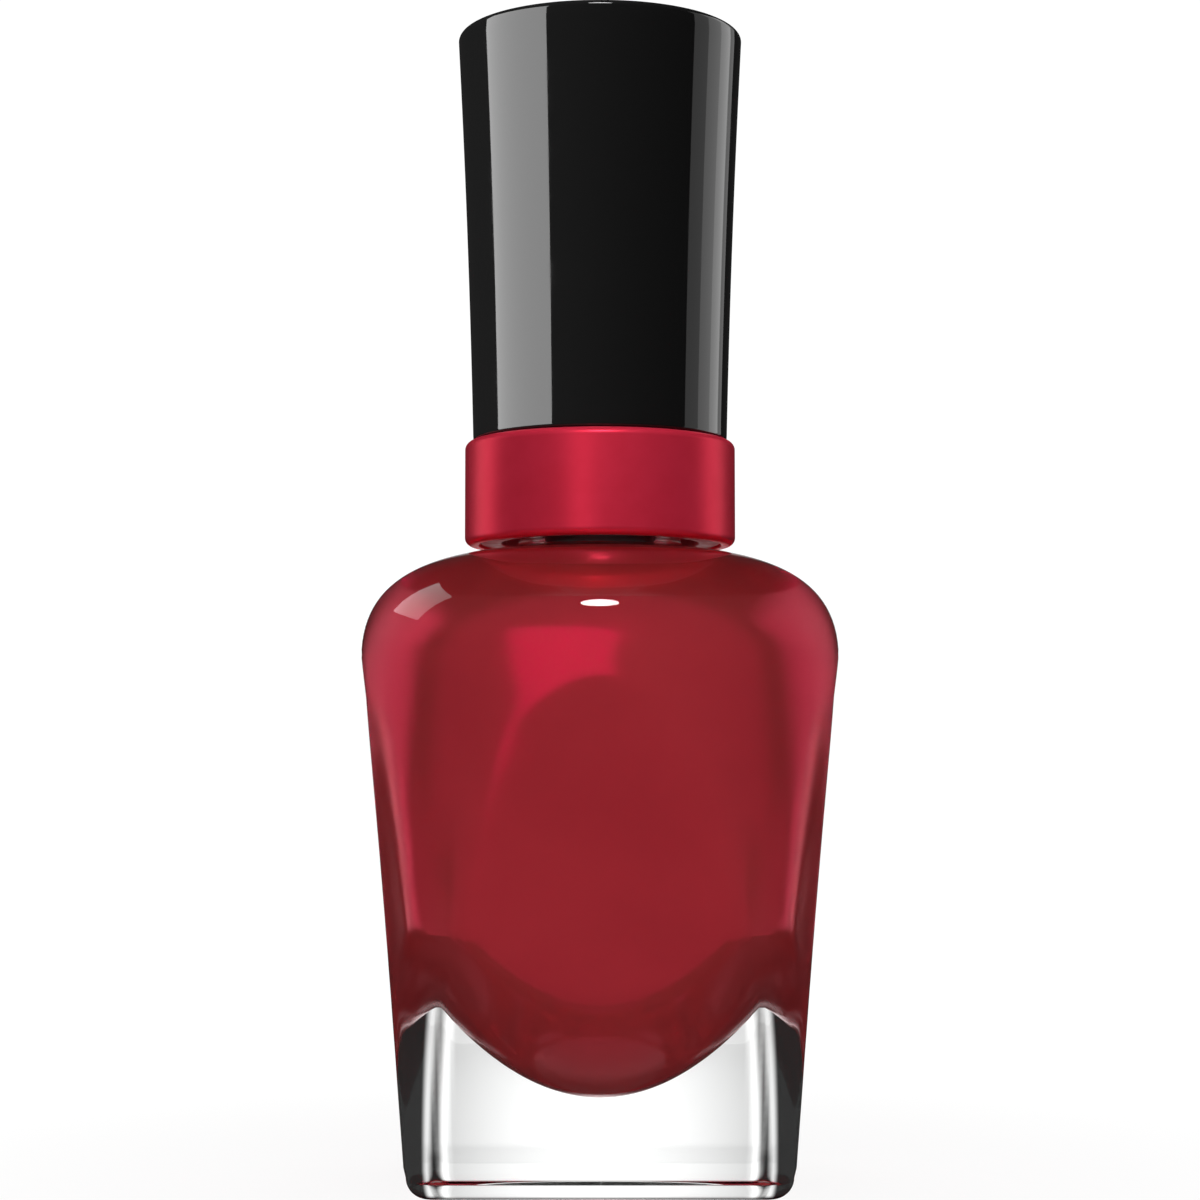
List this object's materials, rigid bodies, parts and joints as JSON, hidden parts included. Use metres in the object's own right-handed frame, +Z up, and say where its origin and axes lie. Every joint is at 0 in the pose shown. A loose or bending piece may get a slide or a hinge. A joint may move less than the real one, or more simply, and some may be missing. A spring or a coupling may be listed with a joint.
{
  "type": "nail polish bottle",
  "caption": "Square-based thick glass nail polish bottle with a round shoulder, filled with lacquer, under a tall tapered screw cap that carries the brush.",
  "frame": {"origin": "centre of the base, on the surface the bottle stands on", "axes": "+Z up along the bottle's axis, -Y out of the flat side that faces the viewer"},
  "size_m": [0.0336, 0.0336, 0.0807],
  "materials": {
    "clear_glass": "polished clear flint glass",
    "red_lacquer": "opaque deep red nail lacquer",
    "steel": "plain bearing steel",
    "label_film": "blank matte film",
    "gasket_foam": "soft polyethylene",
    "ring_metal": "satin red anodised",
    "closure_plastic": "natural moulded polypropylene",
    "cap_plastic": "high gloss black",
    "stem_plastic": "smooth moulded polyethylene",
    "bristle_nylon": "bundle of fine nylon filaments",
    "staple_metal": "cut wire"
  },
  "bodies": {
    "bottle": {"glass_bottle": "clear_glass", "polish": "red_lacquer", "mixing_balls": "steel", "base_label": "label_film"},
    "seal": {"sealing_gasket": "gasket_foam"},
    "ring": {"shade_ring": "ring_metal"},
    "cap": {"inner_cap": "closure_plastic", "overcap": "cap_plastic", "brush_stem": "stem_plastic", "bristle_tuft": "bristle_nylon", "tuft_staple": "staple_metal"}
  },
  "joints": [
    {"name": "cap_lift", "type": "slide", "parent": "bottle", "child": "seal", "axis": [0, 0, 1], "range_m": [0, 0.052]},
    {"name": "thread_rise", "type": "slide", "parent": "seal", "child": "ring", "axis": [0, 0, 1], "range_m": [0, 0.00318]},
    {"name": "cap_turn", "type": "hinge", "parent": "ring", "child": "cap", "pos_m": [0, 0, 0.05], "axis": [0, 0, 1], "range_deg": [0, 540]}
  ],
  "couplings": [
    {"joint": "thread_rise", "follows": "cap_turn", "m_per_rad": 0.00033741}
  ]
}
